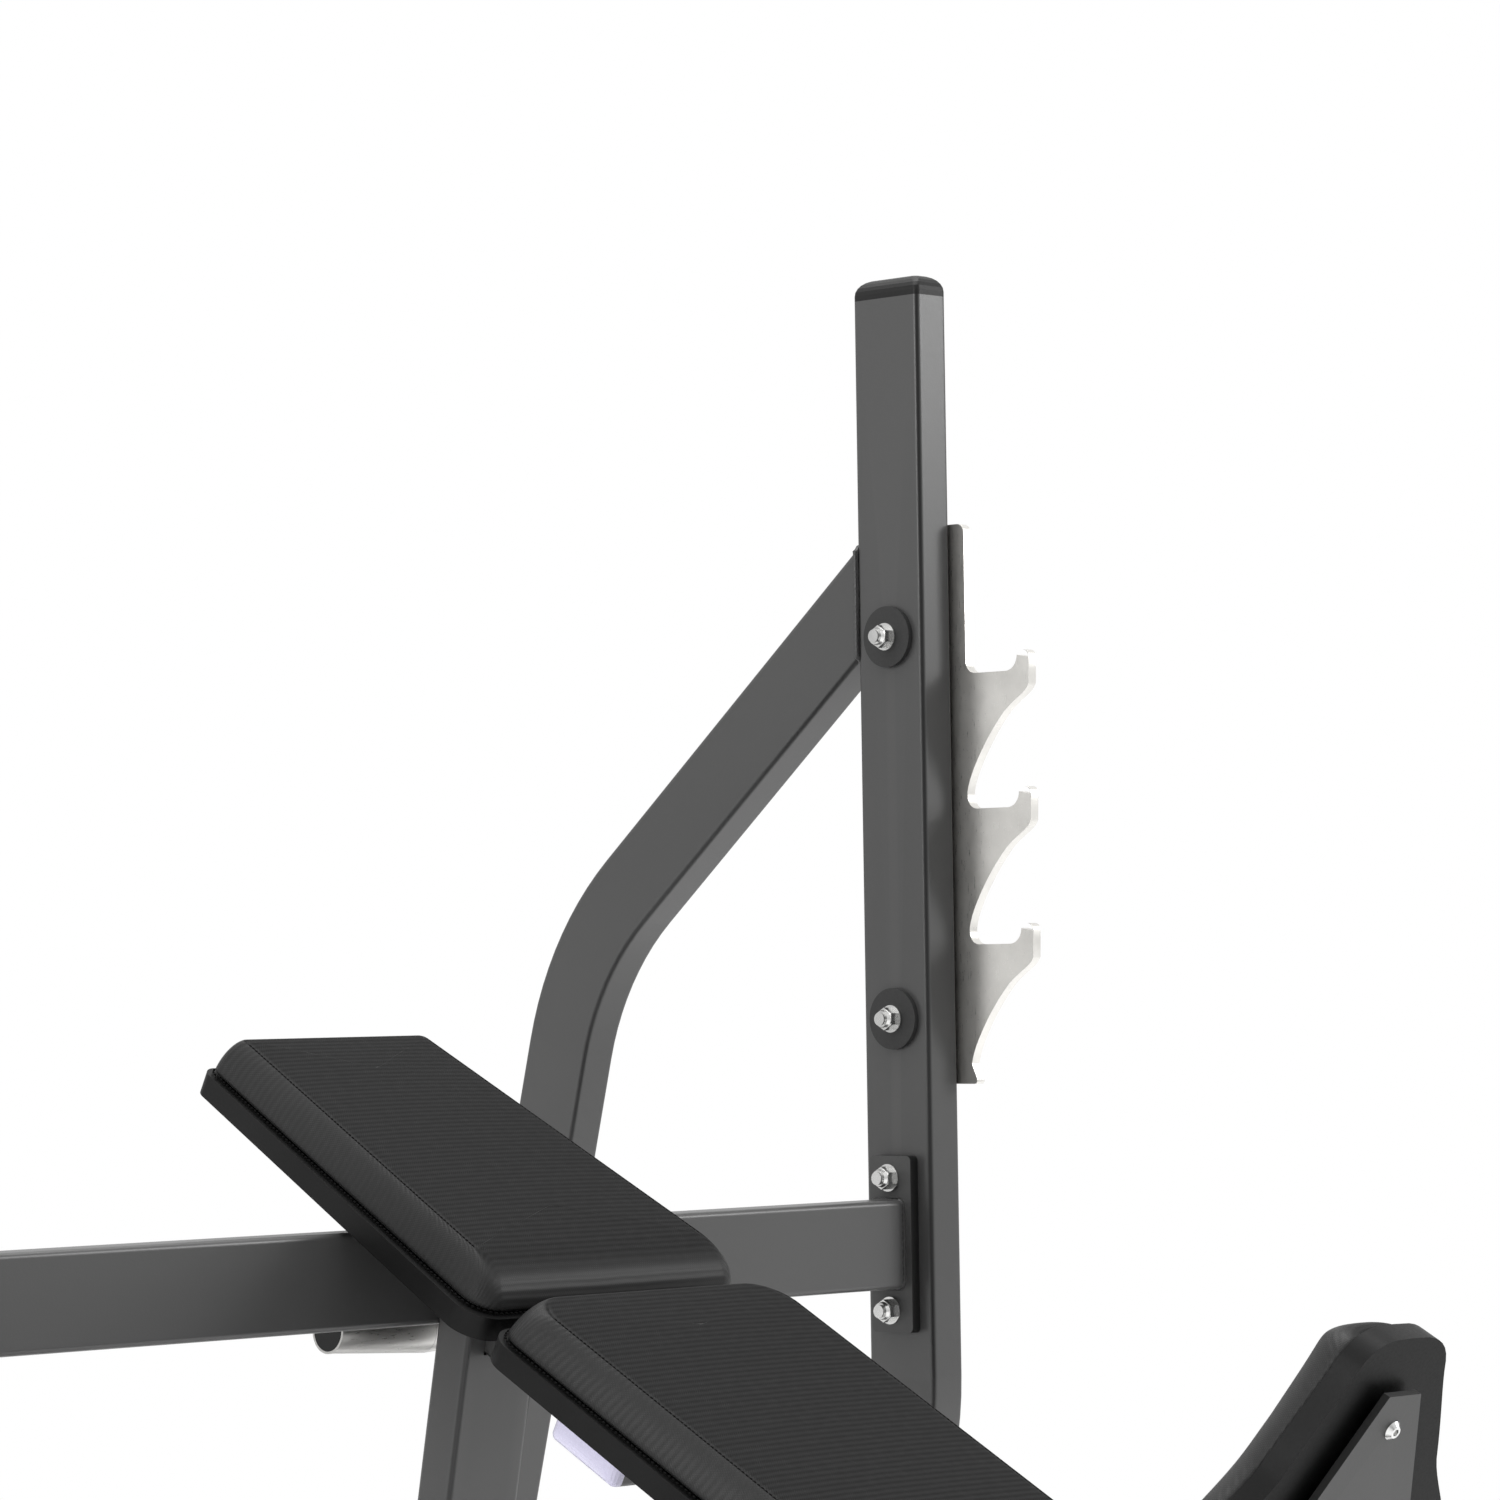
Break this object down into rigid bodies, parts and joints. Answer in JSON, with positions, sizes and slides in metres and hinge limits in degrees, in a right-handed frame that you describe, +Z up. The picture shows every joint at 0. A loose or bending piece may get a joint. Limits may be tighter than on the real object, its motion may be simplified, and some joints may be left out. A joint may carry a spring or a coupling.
{
  "type": "olympic incline bench",
  "caption": "Incline barbell bench with two hooked rack uprights, rear braces, a sloped head and back pad on a centre rail, and a sliding saddle seat with a pop pin.",
  "frame": {"origin": "on the floor, at the centre of the footprint", "axes": "+X across the bench towards the right upright, +Y from the seat end to the rack end, +Z up"},
  "size_m": [1.21, 1.76, 1.582],
  "materials": {
    "frame_paint": "satin powder coat",
    "hook_steel": "brushed, plated",
    "pin_steel": "satin",
    "zinc_hardware": "bright zinc",
    "black_plastic": "satin",
    "black_rubber": "matt",
    "pale_plastic": "gloss",
    "pad_board": "satin",
    "vinyl": "textured vinyl"
  },
  "bodies": {
    "frame": {"upright_left": "frame_paint", "upright_right": "frame_paint", "rear_brace_left": "frame_paint", "rear_brace_right": "frame_paint", "crossbar": "frame_paint", "crossbar_flange_left": "frame_paint", "crossbar_flange_right": "frame_paint", "centre_leg": "frame_paint", "main_rail": "frame_paint", "front_post": "frame_paint", "base_spine": "frame_paint", "front_foot": "frame_paint", "floor_crossbar": "frame_paint", "side_base_left": "frame_paint", "side_base_right": "frame_paint", "head_pad_bracket": "frame_paint", "pad_arms": "frame_paint", "pad_arm_caps": "pale_plastic", "pin_bracket": "frame_paint", "collar_pin_left": "pin_steel", "collar_pin_right": "pin_steel", "collar_pin_caps": "black_plastic", "hook_plate_left": "hook_steel", "hook_plate_right": "hook_steel", "spacer_discs": "black_rubber", "hook_bolts": "zinc_hardware", "hook_washers": "zinc_hardware", "hook_nuts": "zinc_hardware", "crossbar_bolts": "zinc_hardware", "crossbar_washers": "zinc_hardware", "crossbar_nuts": "zinc_hardware", "upright_cap_left": "black_plastic", "upright_cap_right": "black_plastic", "base_end_caps": "black_plastic", "rail_end_cap": "black_plastic", "rubber_feet": "black_rubber", "head_pad_board": "pad_board", "head_pad_cushion": "vinyl", "back_pad_board": "pad_board", "back_pad_cushion": "vinyl", "pad_bolts": "zinc_hardware"},
    "seat": {"seat_board_panel": "pad_board", "seat_cushion": "vinyl", "seat_plate": "frame_paint", "seat_spacers": "black_plastic", "seat_screws": "zinc_hardware", "seat_carriage": "frame_paint", "carriage_liners": "black_plastic", "pop_pin_housing": "zinc_hardware"},
    "pop_pin": {"pop_pin": "zinc_hardware", "pop_pin_knob": "black_plastic"}
  },
  "joints": [
    {"name": "seat_slide", "type": "slide", "parent": "frame", "child": "seat", "axis": [0, 0.8829, 0.4695], "range_m": [-0.08, 0.08]},
    {"name": "pop_pin_push", "type": "slide", "parent": "seat", "child": "pop_pin", "axis": [1, 0, 0], "range_m": [0, 0.012]}
  ]
}
